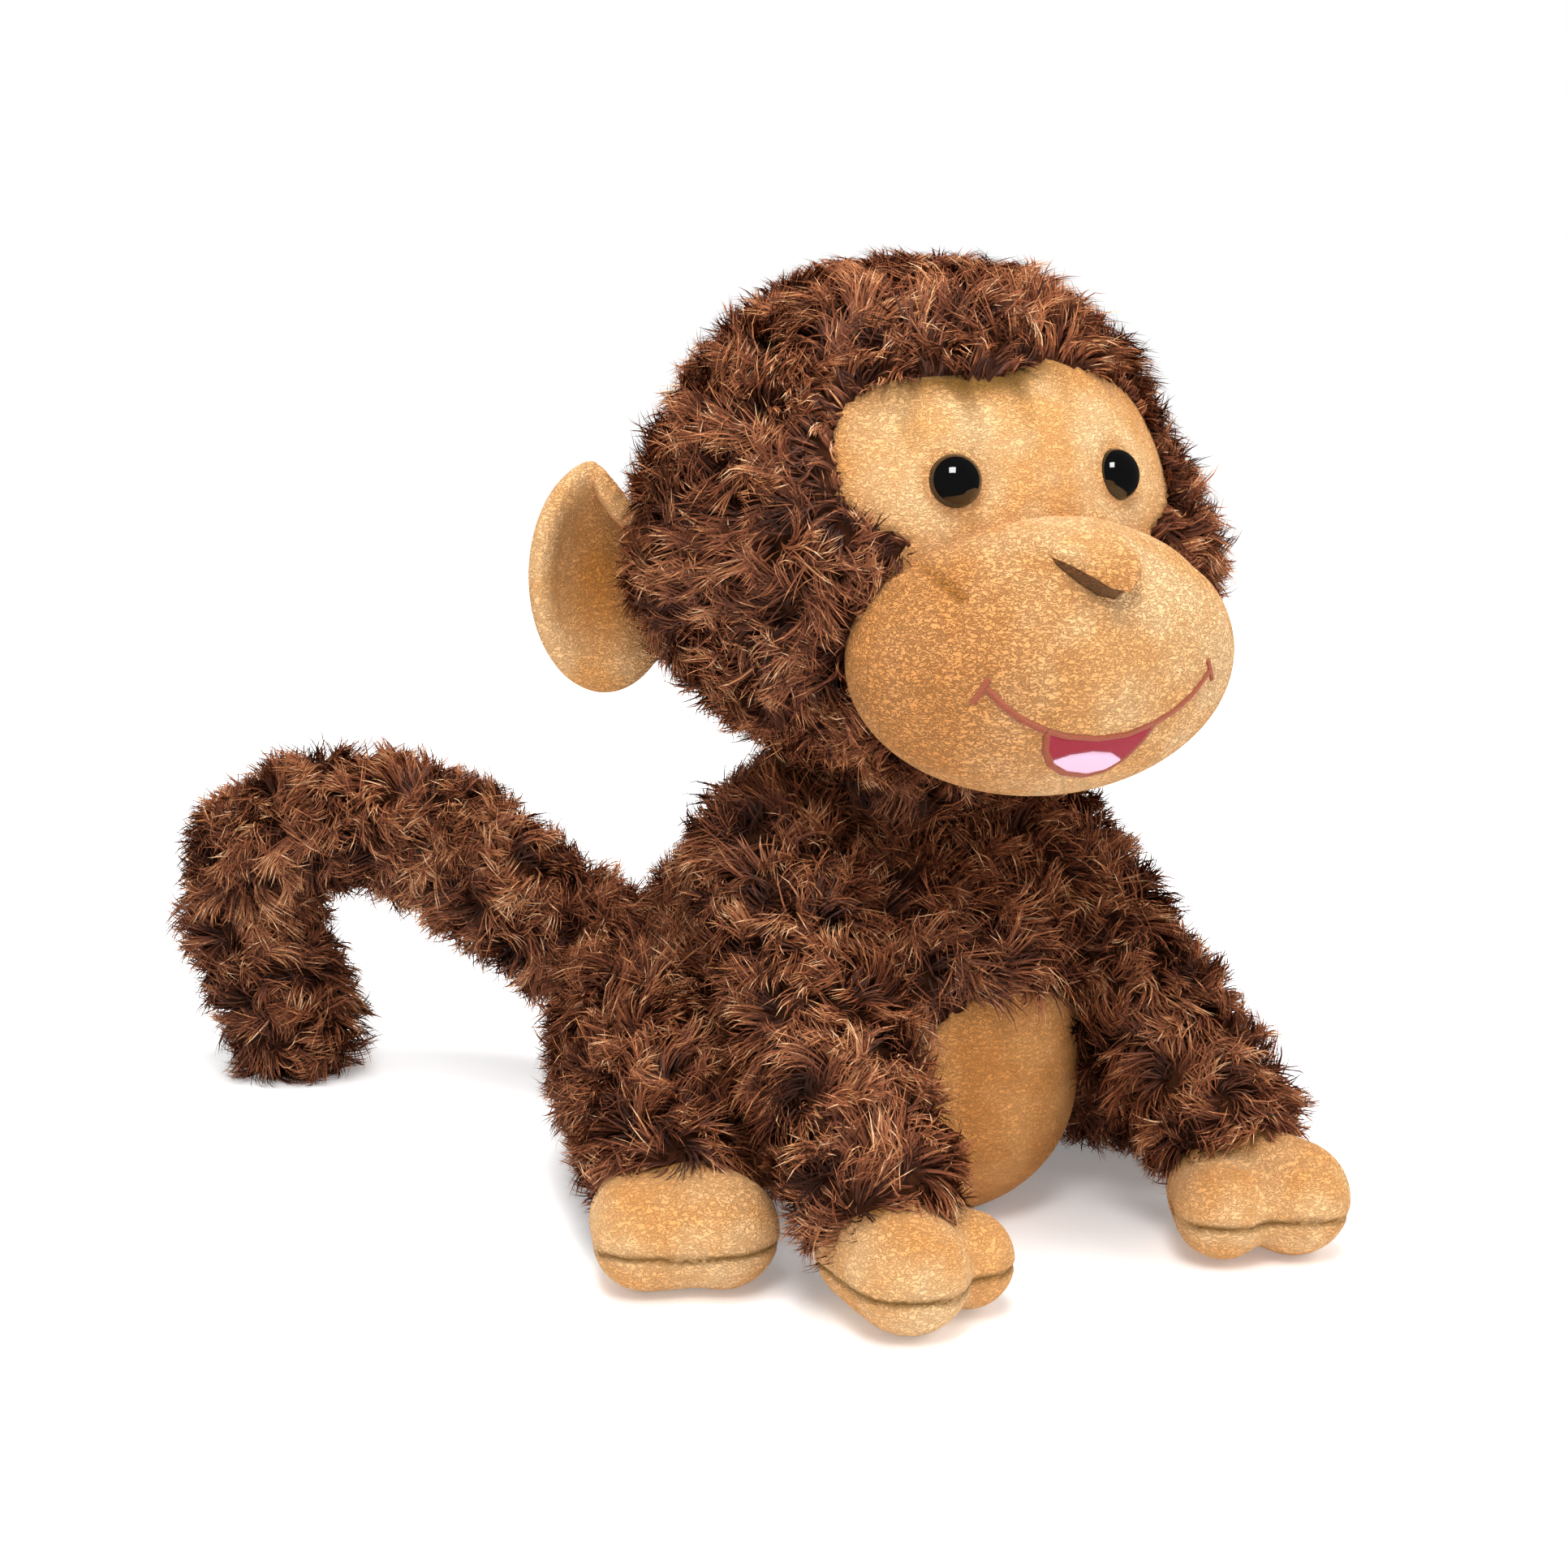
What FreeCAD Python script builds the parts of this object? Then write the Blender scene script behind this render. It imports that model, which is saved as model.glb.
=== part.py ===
import FreeCAD, Part
import math
import os

# Sitting plush monkey, in millimetres. It faces -Y with +Z up, and it rests on z = 0.
# Cloth pieces are thin shells. Stuffing pieces fill them with a small gap.

V = FreeCAD.Vector

SKIN = 2.5            # cloth and backing, thickness of a shell
REST = 0.2            # gap between a shell and its stuffing
CLEAR = 0.4           # gap between a ball and its socket
SWEEP = 1.0           # extra room round a limb that swings
NEST = 0.1            # how far the next length of a limb starts inside the last
SIDES = {"left": 1, "right": -1}

# torso: a belly and a chest, flat where they meet the floor
BELLY = (V(0, -34, 52), V(0, 9, 52), 57)
CHEST, CHEST_R = V(0, -15, 85), 43
SEAT_TOP = 8
PATCH_LOW, PATCH_HIGH, PATCH_HALF = 8, 68, 36
PELLETS = (V(0, -28, 20), V(0, 4, 20), 15)

# head and face: both are rounded bars that lie across the monkey
NECK, NECK_R = V(0, -24, 134), 28
NECK_LEAN = 15
HEAD = (V(-10, -41, 198), V(10, -41, 198), 64)
MUZZLE = (V(-19, -101, 168), V(19, -101, 168), 38.5)
MASK_LOBE, MASK_LOBE_R = (22, 213), 29
MASK_CHEEK, MASK_CHEEK_R = (0, 178), 40
GUSSET_HALF = 22
EYE_X, EYE_Z, EYE_R, EYE_SINK = 27, 215.3, 7.0, 1.5
STEM_R, WASHER_R, WASHER_T = 1.5, 9.0, 1.6
NOSE = (V(-4, -137, 193), V(2, -137, 193), 8)
SMILE = [(-36, 167), (-30, 160.5), (-23, 156.5), (-15, 154.5), (15, 154.5),
         (23, 156.5), (30, 160.5), (36, 167)]
SMILE_R = 1.3
MOUTH_HALF, MOUTH_TOP, MOUTH_DROP = 15, 152.4, 12
TONGUE, TONGUE_R = (-1, 138), 8
PATCH = 1.2

# ears: a lens with a dish in its front
EAR, EAR_R, EAR_HALF_T = V(78, -6, 187), 32, 8
DISH_R, DISH_DEPTH = 36, 5
EAR_FOLD, EAR_PIVOT_X, EAR_GAP = 15, 62, 1.5

# arms and hands
SHOULDER = V(42, -31, 106)
ARM = [(SHOULDER, 19), (V(53, -77, 63), 18.5), (V(58, -112, 32), 17.5)]
ARM_DOWN, ARM_UP = 0, 25
WRIST, WRIST_R, WRIST_BEND = V(58, -112, 32), 15, 25
HAND = [(V(60, -122, 17), V(62, -140, 17), 18), (V(48, -122, 15), V(41, -135, 15), 14.5)]

# legs and feet
HIP = V(54, 9, 44)
LEG = [(HIP, 31), (V(71, -25, 36), 25), (V(85, -52, 27), 18.5)]
LEG_IN, LEG_OUT = 0, 30
ANKLE, ANKLE_R, ANKLE_BEND = V(85, -52, 27), 15, 20
FOOT = [(V(89, -66, 17), V(87, -82, 17), 17.5), (V(101, -60, 16), V(106, -74, 16), 16)]
PAW_SEAM = 14

# tail: it arches up behind and comes down to the floor on the right-hand side
TAIL_R, TAIL_BEND = 16.5, 25
TAIL = {"base": [V(-4, 66, 38), V(-30, 97, 46), V(-52, 119, 66), V(-68, 135, 82)],
        "mid": [V(-68, 135, 82), V(-87, 152, 90), V(-104, 169, 89), V(-119, 183, 77)],
        "tip": [V(-119, 183, 77), V(-122, 186, 55), V(-116, 180, 34), V(-111, 175, 15)]}
TAIL_AXIS = V(0.66, 0.75, 0)

BIG = 400


def mirrored(point, side):
    return V(point.x * side, point.y, point.z)


def ball(centre, radius):
    return Part.makeSphere(radius, centre)


def slab(x0, x1, y0, y1, z0, z1):
    return Part.makeBox(x1 - x0, y1 - y0, z1 - z0, V(x0, y0, z0))


def tangent_points(start, end, r_start, r_end):
    """Where a line that touches two balls leaves each, seen along the axis."""
    length = (end - start).Length
    lean = (r_start - r_end) / length
    side = math.sqrt(1 - lean * lean)
    return [(r_start * lean, r_start * side), (length + r_end * lean, r_end * side)]


def capsule(start, end, r_start, r_end=None):
    """A rounded bar: its half profile turned about its own axis."""
    r_end = r_start if r_end is None else r_end
    length = (end - start).Length
    (x0, y0), (x1, y1) = tangent_points(start, end, r_start, r_end)
    bend0, bend1 = math.atan2(y0, x0), math.atan2(y1, x1 - length)
    mid0, mid1 = (bend0 + math.pi) / 2, bend1 / 2
    first = Part.Arc(V(-r_start, 0, 0), V(r_start * math.cos(mid0), r_start * math.sin(mid0), 0),
                     V(x0, y0, 0))
    last = Part.Arc(V(x1, y1, 0), V(length + r_end * math.cos(mid1), r_end * math.sin(mid1), 0),
                    V(length + r_end, 0, 0))
    edges = [first.toShape(), Part.makeLine(V(x0, y0, 0), V(x1, y1, 0)), last.toShape(),
             Part.makeLine(V(length + r_end, 0, 0), V(-r_start, 0, 0))]
    bar = Part.Face(Part.Wire(edges)).revolve(V(0, 0, 0), V(1, 0, 0), 360)
    bar.Placement = FreeCAD.Placement(start, FreeCAD.Rotation(V(1, 0, 0), end - start))
    return bar if bar.ShapeType == "Solid" else bar.Solids[0]


def bar(spec, inset=0):
    start, end, radius = spec
    return capsule(start, end, radius - inset)


def joined(shapes):
    whole = shapes[0]
    for shape in shapes[1:]:
        whole = whole.fuse(shape)
    return whole


def limb(stations, inset=0):
    pieces = []
    for (a, ra), (b, rb) in zip(stations, stations[1:]):
        start_r = ra - inset - (NEST if pieces else 0)
        pieces.append(capsule(a, b, start_r, rb - inset))
    return joined(pieces)


def torso(inset=0):
    whole = bar(BELLY, inset).fuse(ball(CHEST, CHEST_R - inset))
    return whole.cut(slab(-BIG, BIG, -BIG, BIG, -BIG, inset))


def socket(radius, bend):
    """Radius that clears a ball and the tube behind it when it bends."""
    return radius / math.cos(math.radians(bend / 2)) + CLEAR


def carve(shape, cutters):
    for cutter in cutters:
        shape = shape.cut(cutter)
    return shape


def swept_bar(stations, side, axis, low, high, step=12):
    """Room for a limb's first length over its travel."""
    (a, ra), (b, rb) = stations[:2]
    root, end = mirrored(a, side), mirrored(b, side)
    start = root + (end - root) * 0.1
    room = []
    count = max(1, round((high - low) / step))
    for i in range(count + 1):
        copy = capsule(start, end, ra + SWEEP - 0.1 * (ra - rb), rb + SWEEP)
        copy.rotate(root, axis, low + (high - low) * i / count)
        room.append(copy)
    return room


def solid(shape):
    """The largest solid of a result, without its crumbs."""
    return max(shape.Solids, key=lambda s: s.Volume)


def export(name, shape):
    body = solid(shape)
    body.exportStep(f"parts/{name}.step")
    box = body.optimalBoundingBox()
    print(f"{name:20s} solids {len(shape.Solids)} volume {body.Volume:10.0f} "
          f"z {box.ZMin:7.2f} to {box.ZMax:7.2f} valid {body.isValid()}")


def export_pair(name, shape):
    export(f"{name}_left", shape)
    export(f"{name}_right", shape.mirror(V(0, 0, 0), V(1, 0, 0)))


def front_prism(outline, y0, y1):
    """A closed outline in X and Z, run along Y."""
    wire = Part.makePolygon([V(x, y0, z) for x, z in outline + outline[:1]])
    return Part.Face(wire).extrude(V(0, y1 - y0, 0))


def front_rod(centre, radius, y0, y1):
    return Part.makeCylinder(radius, y1 - y0, V(centre[0], y0, centre[1]), V(0, 1, 0))


def bar_front(spec, x, z, lift=0):
    """Depth of the front of a bar that lies along X."""
    start, end, radius = spec
    over = max(start.x - x, x - end.x, 0)
    return start.y - math.sqrt((radius + lift) ** 2 - over ** 2 - (z - start.z) ** 2)


def make_torso():
    cutters = [ball(NECK, socket(NECK_R, NECK_LEAN))]
    for side in SIDES.values():
        cutters.append(ball(mirrored(SHOULDER, side), socket(ARM[0][1], ARM_UP)))
        cutters += swept_bar(ARM, side, V(-1, 0, 0), ARM_DOWN, ARM_UP)
        cutters.append(ball(mirrored(HIP, side), socket(LEG[0][1], LEG_OUT)))
        cutters += swept_bar(LEG, side, V(0, 0, side), LEG_IN, LEG_OUT)
    tail = [(p, TAIL_R) for p in TAIL["base"]]
    cutters.append(ball(tail[0][0], socket(TAIL_R, TAIL_BEND)))
    cutters += swept_bar(tail, 1, V(0, 0, 1), -TAIL_BEND, TAIL_BEND)

    shell = carve(torso().cut(torso(SKIN)), cutters)
    below = slab(-BIG, BIG, -BIG, BIG, -BIG, SEAT_TOP)
    export("seat_panel", shell.common(below))
    above = shell.cut(below)
    patch = slab(-PATCH_HALF, PATCH_HALF, -BIG, -30, PATCH_LOW, PATCH_HIGH)
    export("belly_patch", above.common(patch))
    rest = above.cut(patch)
    chest_zone = slab(-BIG, BIG, -BIG, -22, 60, BIG)
    export("chest_panel", rest.common(chest_zone))
    back = rest.cut(chest_zone)
    export("back_panel_left", back.common(slab(0, BIG, -BIG, BIG, 0, BIG)))
    export("back_panel_right", back.common(slab(-BIG, 0, -BIG, BIG, 0, BIG)))

    export("pellet_bag", bar(PELLETS))
    export("torso_stuffing", carve(torso(SKIN + REST), cutters).cut(bar(PELLETS, -REST)))


def make_neck():
    export("neck_sleeve", ball(NECK, NECK_R).cut(ball(NECK, NECK_R - SKIN)))
    export("neck_stuffing", ball(NECK, NECK_R - SKIN - REST))


def eye_place(side):
    """Point on the face at the eye's centre, with the face's normal there."""
    start, end, radius = HEAD
    x = side * EYE_X
    point = V(x, bar_front(HEAD, x, EYE_Z), EYE_Z)
    core = V(min(max(x, start.x), end.x), start.y, start.z)
    return point, (point - core).normalize()


def rod(point, normal, radius, low, high):
    """A round rod along a normal, from low to high as measured from the point."""
    return Part.makeCylinder(radius, high - low, point + normal * low, normal)


def make_head():
    outer, opening = bar(HEAD), ball(NECK, socket(NECK_R, NECK_LEAN))
    shell = outer.cut(bar(HEAD, SKIN)).cut(opening)
    for side in SIDES.values():
        shell = shell.cut(rod(*eye_place(side), STEM_R + REST, -2 * SKIN, SKIN))

    mask_zone = front_rod(MASK_CHEEK, MASK_CHEEK_R, -BIG, HEAD[0].y)
    for side in SIDES.values():
        lobe = front_rod((side * MASK_LOBE[0], MASK_LOBE[1]), MASK_LOBE_R, -BIG, HEAD[0].y)
        mask_zone = mask_zone.fuse(lobe)
    mask_zone = mask_zone.fuse(slab(-20, 20, -BIG, HEAD[0].y, 195, 238))
    export("face_mask", shell.common(mask_zone))
    cap = shell.cut(mask_zone)
    strip = slab(-GUSSET_HALF, GUSSET_HALF, -BIG, BIG, 165, BIG)
    strip = strip.cut(slab(-BIG, BIG, -BIG, HEAD[0].y, 0, 205))
    export("head_gusset", cap.common(strip))
    sides = cap.cut(strip)
    export("head_side_left", sides.common(slab(0, BIG, -BIG, BIG, 0, BIG)))
    export("head_side_right", sides.common(slab(-BIG, 0, -BIG, BIG, 0, BIG)))

    stuffing = bar(HEAD, SKIN + REST).cut(opening)
    for name, side in SIDES.items():
        point, normal = eye_place(side)
        deep = -SKIN - 1.0
        room = rod(point, normal, WASHER_R + REST, deep - WASHER_T - REST, 0)
        stuffing = stuffing.cut(room)
        washer = rod(point, normal, WASHER_R, deep - WASHER_T, deep)
        washer = washer.cut(rod(point, normal, STEM_R + REST, deep - SKIN, deep + SKIN))
        export(f"eye_washer_{name}", washer)
        dome = ball(point - normal * EYE_SINK, EYE_R).cut(bar(HEAD, -0.1))
        stem = rod(point, normal, STEM_R, deep - WASHER_T, 2)
        export(f"eye_{name}", dome.fuse(stem))
    export("head_stuffing", stuffing)


def make_muzzle():
    head = bar(HEAD, -REST)
    skin = bar(MUZZLE).cut(bar(MUZZLE, SKIN)).cut(head)
    for side in SIDES.values():
        point, normal = eye_place(side)
        skin = skin.cut(ball(point - normal * EYE_SINK, EYE_R + REST))
    export("muzzle_skin", skin)
    export("muzzle_stuffing", bar(MUZZLE, SKIN + REST).cut(head))
    export("nose_tab", bar(NOSE).cut(bar(MUZZLE, -0.1)))

    raised = bar(MUZZLE, -PATCH).cut(bar(MUZZLE, -0.1))
    arc = [(MOUTH_HALF * math.cos(a), MOUTH_TOP - MOUTH_DROP * math.sin(a))
           for a in (math.pi * i / 16 for i in range(17))]
    mouth = raised.common(front_prism(arc, -BIG, MUZZLE[0].y))
    tongue_zone = front_rod(TONGUE, TONGUE_R, -BIG, MUZZLE[0].y)
    export("tongue_patch", mouth.common(tongue_zone))
    export("mouth_patch", mouth.cut(tongue_zone))

    points = [V(x, bar_front(MUZZLE, x, z, 0.6), z) for x, z in SMILE]
    radii = [SMILE_R + 0.01 * i for i in range(len(points))]
    line = limb(list(zip(points, radii)))
    export("smile_line", line.cut(bar(MUZZLE, -0.1)))


def make_ears():
    lens_r = (EAR_R ** 2 + EAR_HALF_T ** 2) / (2 * EAR_HALF_T)
    shift = V(0, lens_r - EAR_HALF_T, 0)
    lens = ball(EAR + shift, lens_r).common(ball(EAR - shift, lens_r))
    pivot = V(EAR_PIVOT_X, EAR.y, EAR.z)
    for angle in (-EAR_FOLD, 0, EAR_FOLD):
        room = bar(HEAD, -EAR_GAP)
        room.rotate(pivot, V(0, 0, 1), angle)
        lens = lens.cut(room)
    dish = EAR + V(4, DISH_DEPTH - EAR_HALF_T - DISH_R, 0)
    lens = lens.cut(ball(dish, DISH_R))
    front = slab(-BIG, BIG, -BIG, EAR.y + 2, 0, BIG)
    export_pair("ear_front", lens.common(front))
    export_pair("ear_back", lens.cut(front))


def paw(lobes, joint, joint_r, inset=0):
    shapes = [ball(joint, joint_r - inset)] + [bar(spec, inset) for spec in lobes]
    return joined(shapes).cut(slab(-BIG, BIG, -BIG, BIG, -BIG, inset))


def make_limbs(kind, stations, joint, joint_r, bend, lobes, paw_names):
    cutters = [ball(joint, socket(joint_r, bend))]
    for spec in lobes:
        for angle in (-bend, 0, bend):
            lobe = bar(spec, -SWEEP)
            lobe.rotate(joint, V(1, 0, 0), angle)
            cutters.append(lobe)
    sleeve = limb(stations).cut(limb(stations, SKIN))
    export_pair(f"{kind}_sleeve", carve(sleeve, cutters))
    export_pair(f"{kind}_stuffing", carve(limb(stations, SKIN + REST), cutters))

    skin = paw(lobes, joint, joint_r).cut(paw(lobes, joint, joint_r, SKIN))
    lower = slab(-BIG, BIG, -BIG, BIG, -BIG, PAW_SEAM)
    top_name, bottom_name, stuffing_name = paw_names
    export_pair(top_name, skin.cut(lower))
    export_pair(bottom_name, skin.common(lower))
    export_pair(stuffing_name, paw(lobes, joint, joint_r, SKIN + REST))


def make_tail():
    names = list(TAIL)
    for i, name in enumerate(names):
        stations = [(p, TAIL_R) for p in TAIL[name]]
        floor = slab(-BIG, BIG, -BIG, BIG, -BIG, 0)
        inside = slab(-BIG, BIG, -BIG, BIG, -BIG, SKIN)
        cup = []
        if i + 1 < len(names):
            following = [(p, TAIL_R) for p in TAIL[names[i + 1]]]
            cup = [ball(following[0][0], socket(TAIL_R, TAIL_BEND))]
            cup += swept_bar(following, 1, TAIL_AXIS, -TAIL_BEND, TAIL_BEND)
        hollow = limb(stations, SKIN).cut(inside)
        sleeve = limb(stations).cut(hollow).cut(floor)
        export(f"tail_{name}_sleeve", carve(sleeve, cup))
        core = limb(stations, SKIN + REST)
        floor_core = slab(-BIG, BIG, -BIG, BIG, -BIG, SKIN + REST)
        export(f"tail_{name}_stuffing", carve(core.cut(floor_core), cup))


os.makedirs("parts", exist_ok=True)
make_torso()
make_neck()
make_head()
make_muzzle()
make_ears()
make_limbs("arm", ARM, WRIST, WRIST_R, WRIST_BEND, HAND,
           ("hand_top", "hand_palm", "hand_stuffing"))
make_limbs("leg", LEG, ANKLE, ANKLE_R, ANKLE_BEND, FOOT,
           ("foot_top", "foot_sole", "foot_stuffing"))
make_tail()
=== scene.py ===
# %% [markdown]
# # A sitting plush monkey
# This lesson builds a stuffed toy monkey with long curly fur, short tan plush on its face, ears, paws
# and belly, glossy safety eyes and a stitched smile. The hard layout, with every joint, comes from the
# CAD frame. Blender gives each sewn piece its cloth and its filling, and grows the fur.

# %% Load the frame
import math

import bmesh
import bpy
import numpy as np
from mathutils import Matrix, Vector
from mathutils.bvhtree import BVHTree
from mathutils.kdtree import KDTree


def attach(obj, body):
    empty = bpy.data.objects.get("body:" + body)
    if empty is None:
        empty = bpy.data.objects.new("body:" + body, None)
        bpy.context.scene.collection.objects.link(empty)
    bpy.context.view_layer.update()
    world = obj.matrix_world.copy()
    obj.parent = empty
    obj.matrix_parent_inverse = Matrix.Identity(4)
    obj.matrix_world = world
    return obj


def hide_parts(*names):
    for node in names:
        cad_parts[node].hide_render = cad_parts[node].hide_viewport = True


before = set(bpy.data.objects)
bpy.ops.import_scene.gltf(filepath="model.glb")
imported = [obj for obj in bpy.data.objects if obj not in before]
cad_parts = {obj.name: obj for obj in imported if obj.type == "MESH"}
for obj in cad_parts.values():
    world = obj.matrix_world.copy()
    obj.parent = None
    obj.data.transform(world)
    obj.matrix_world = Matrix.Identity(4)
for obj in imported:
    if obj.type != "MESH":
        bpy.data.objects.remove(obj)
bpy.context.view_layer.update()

# %% [markdown]
# ## Units and colours
# The toy is measured in millimetres, while Blender's scene is in metres. Colours are picked as sRGB hex
# codes, as in a paint chart, and shaders want linear light, so one function turns them over.

# %% Units and colours
MM = 0.001
SIDES = (("left", 1), ("right", -1))


def linear(hex_code):
    parts = [int(hex_code[i:i + 2], 16) / 255 for i in (1, 3, 5)]
    return tuple(c / 12.92 if c <= 0.04045 else ((c + 0.055) / 1.055) ** 2.4 for c in parts) + (1.0,)


def at(x, y, z):
    return Vector((x * MM, y * MM, z * MM))


def new_object(name, data):
    obj = bpy.data.objects.new(name, data)
    bpy.context.collection.objects.link(obj)
    return obj


print("mid brown in linear light:", [round(c, 3) for c in linear("#5a3422")[:3]])

# %% [markdown]
# ## Camera
# The camera stands a little to the monkey's right, above its eyes, and looks slightly down.

# %% Camera
CAMERA_PLACE = at(-418.9, -664.3, 257.9)
CAMERA_TURN, CAMERA_DROP = math.radians(-31.02), math.radians(10.13)
camera_data = bpy.data.cameras.new("camera")
camera_data.lens, camera_data.sensor_width = 60.15, 36
camera_data.clip_start, camera_data.clip_end = 0.01, 50
camera = new_object("camera", camera_data)
looking = Vector((-math.sin(CAMERA_TURN) * math.cos(CAMERA_DROP),
                  math.cos(CAMERA_TURN) * math.cos(CAMERA_DROP), -math.sin(CAMERA_DROP)))
camera.location = CAMERA_PLACE
camera.rotation_euler = looking.to_track_quat("-Z", "Y").to_euler()
bpy.context.scene.camera = camera
print("camera distance", round(CAMERA_PLACE.length, 3), "m")

# %% [markdown]
# ## Materials
# A helper adds a node with its settings and links in one call, so that each material reads as a list.
# The fur could be one material with a colour ramp along each hair. Six plain colours, which step along
# a hair and from lock to lock, look the same, and they leave the shader with nothing to work out.

# %% Node helper and fur colours
def add_node(tree, kind, inputs=None, **settings):
    """Adds a node. An input takes a link or a value, and a setting is one of its own options."""
    node = tree.nodes.new(kind)
    for key, value in settings.items():
        setattr(node, key, value)
    for socket, value in (inputs or {}).items():
        if isinstance(value, bpy.types.NodeSocket):
            tree.links.new(value, node.inputs[socket])
        else:
            node.inputs[socket].default_value = value
    return node


def new_material(name):
    material = bpy.data.materials.new(name)
    material.use_nodes = True
    return material, material.node_tree, material.node_tree.nodes["Principled BSDF"]


def plain(name, hex_code, roughness, **more):
    material, tree, shader = new_material(name)
    shader.inputs["Base Color"].default_value = linear(hex_code)
    shader.inputs["Roughness"].default_value = roughness
    for key, value in more.items():
        shader.inputs[key.replace("_", " ")].default_value = value
    return material


# Curly acrylic pile, copper brown. Its colours step along each hair as painted light: dark at the root,
# as painted shade among the hairs, and pale where a tip catches the light, as a painted highlight.
# Its fibres are smooth, so each has a weak, fairly sharp glint.
FUR_SHADES = ["#3b1e13", "#5a301e", "#784229", "#9a5c3a", "#c08457", "#e6b88e"]
FUR = [plain(f"fur_shade_{i}", code, 0.5, Specular_IOR_Level=0.22) for i, code in enumerate(FUR_SHADES)]
# The knitted polyester cloth that the pile grows from: matt and dark, and hardly seen.
FUR_BACKING = plain("fur_backing", "#482817", 0.95, Specular_IOR_Level=0.1)
print("fur shades:", len(FUR))


# %% [markdown]
# The tan cloth is a short knitted polyester plush. Its nap breaks into fine creases, which could be
# modelled as hair too, but they are under a millimetre wide. So a noise draws them where it crosses its
# middle value, as a bump and as painted shade, and they are stretched sideways, as the pile is brushed.
# Two attributes, painted on each piece's points, add the rest: one is a deeper orange, painted shade in
# hollows and beside the fur, which also darkens the creases there, and "seam" is the thread in a seam with
# a painted shadow.

# %% Short tan plush
# Sizes in mm. The real pile is finer still: these are as coarse as the creases must be to show.
CREASE_SIZE, GRAIN_SIZE, PATCH_SIZE = 1.0, 0.5263, 18.18
CREASE_STRETCH = (0.6, 0.6, 1.15)
PILE_DEPTH = 0.9
# The seam colour is thread with a painted shadow in the seam.
SEAM_THREAD_AND_SHADE, PLUSH_SHEEN = "#7c5418", "#f6cf9a"


def short_plush(name, light, dark, painted_shade, crease_shade, depth):
    """A matt pile with a soft sheen. The colours are its two plain shades, and painted shade in its hollows
    and creases.
    """
    material, tree, shader = new_material(name)
    place = add_node(tree, "ShaderNodeTexCoord").outputs["Object"]
    patches = add_node(tree, "ShaderNodeTexNoise", {"Vector": place, "Scale": 1 / (PATCH_SIZE * MM),
                                                    "Detail": 3.0}).outputs["Fac"]
    brushed = add_node(tree, "ShaderNodeMapping", {"Vector": place, "Scale": CREASE_STRETCH})
    nap = add_node(tree, "ShaderNodeTexNoise", {"Vector": brushed.outputs["Vector"],
                                                "Scale": 1 / (CREASE_SIZE * MM), "Detail": 2.0,
                                                "Roughness": 0.55, "Distortion": 0.8})
    grain = add_node(tree, "ShaderNodeTexNoise", {"Vector": place, "Scale": 1 / (GRAIN_SIZE * MM),
                                                  "Detail": 2.0})
    offset = add_node(tree, "ShaderNodeMath", {0: nap.outputs["Fac"], 1: 0.5}, operation="SUBTRACT")
    ridge = add_node(tree, "ShaderNodeMath", {0: offset.outputs[0]}, operation="ABSOLUTE")
    pile = add_node(tree, "ShaderNodeMapRange", {"Value": ridge.outputs[0], "From Max": 0.1},
                    interpolation_type="SMOOTHSTEP").outputs["Result"]
    worn = add_node(tree, "ShaderNodeMapRange", {"Value": patches, "From Min": 0.38, "From Max": 0.62})
    # Painted shade: the attributes darken the cloth in hollows, beside the fur and in seams.
    painted_shade_at = add_node(tree, "ShaderNodeAttribute", attribute_name="painted_shade").outputs["Fac"]
    seam_at = add_node(tree, "ShaderNodeAttribute", attribute_name="seam").outputs["Fac"]
    # Painted shade in the creases, deeper where the attribute for hollows is.
    deepest = add_node(tree, "ShaderNodeMapRange", {"Value": painted_shade_at, "To Min": depth * 0.75,
                                                    "To Max": depth * 1.3})
    shade = add_node(tree, "ShaderNodeMapRange", {"Value": pile, "To Min": deepest.outputs["Result"],
                                                  "To Max": 0.0})
    base = linear(dark)
    for share, colour in ((worn.outputs["Result"], light), (painted_shade_at, painted_shade),
                          (shade.outputs["Result"], crease_shade), (seam_at, SEAM_THREAD_AND_SHADE)):
        base = add_node(tree, "ShaderNodeMix", {0: share, 6: base, 7: linear(colour)},
                        data_type="RGBA").outputs[2]
    tree.links.new(base, shader.inputs["Base Color"])
    height = add_node(tree, "ShaderNodeMath", {0: pile, 1: grain.outputs["Fac"]}, operation="ADD")
    bump = add_node(tree, "ShaderNodeBump", {"Height": height.outputs["Value"], "Strength": 0.8,
                                             "Distance": PILE_DEPTH * MM})
    tree.links.new(bump.outputs["Normal"], shader.inputs["Normal"])
    for socket, value in (("Roughness", 0.85), ("Specular IOR Level", 0.2), ("Sheen Weight", 0.25),
                          ("Sheen Roughness", 0.5), ("Sheen Tint", linear(PLUSH_SHEEN))):
        shader.inputs[socket].default_value = value
    return material


# One cloth in four states: creased on the full muzzle, with painted shade in its creases, smooth where it
# is stretched flat, darker on the belly as painted shade, and darker brown under the nose's fold as painted
# shade.
TAN = short_plush("tan_plush", "#f8ca94", "#ecae6e", "#cf8238", "#8a4f1e", 0.62)
TAN_LIGHT = short_plush("tan_plush_light", "#fbce98", "#eeae6c", "#d68a3e", "#a8682c", 0.36)
TAN_BELLY_SHADED = short_plush("tan_plush_belly_shaded", "#e39f5c", "#d48b46", "#a8642c", "#9a5820", 0.3)
NOSE_SHADED = short_plush("nose_plush", "#94602f", "#7a4a28", "#5a3218", "#40220e", 0.75)
print("materials:", len(bpy.data.materials))

# %% [markdown]
# The eyes are moulded black acrylic, polished like a lens, so they mirror one lamp and little else. The
# mouth is rayon embroidery thread, which has a silky sheen and no sharp highlight.

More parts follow.
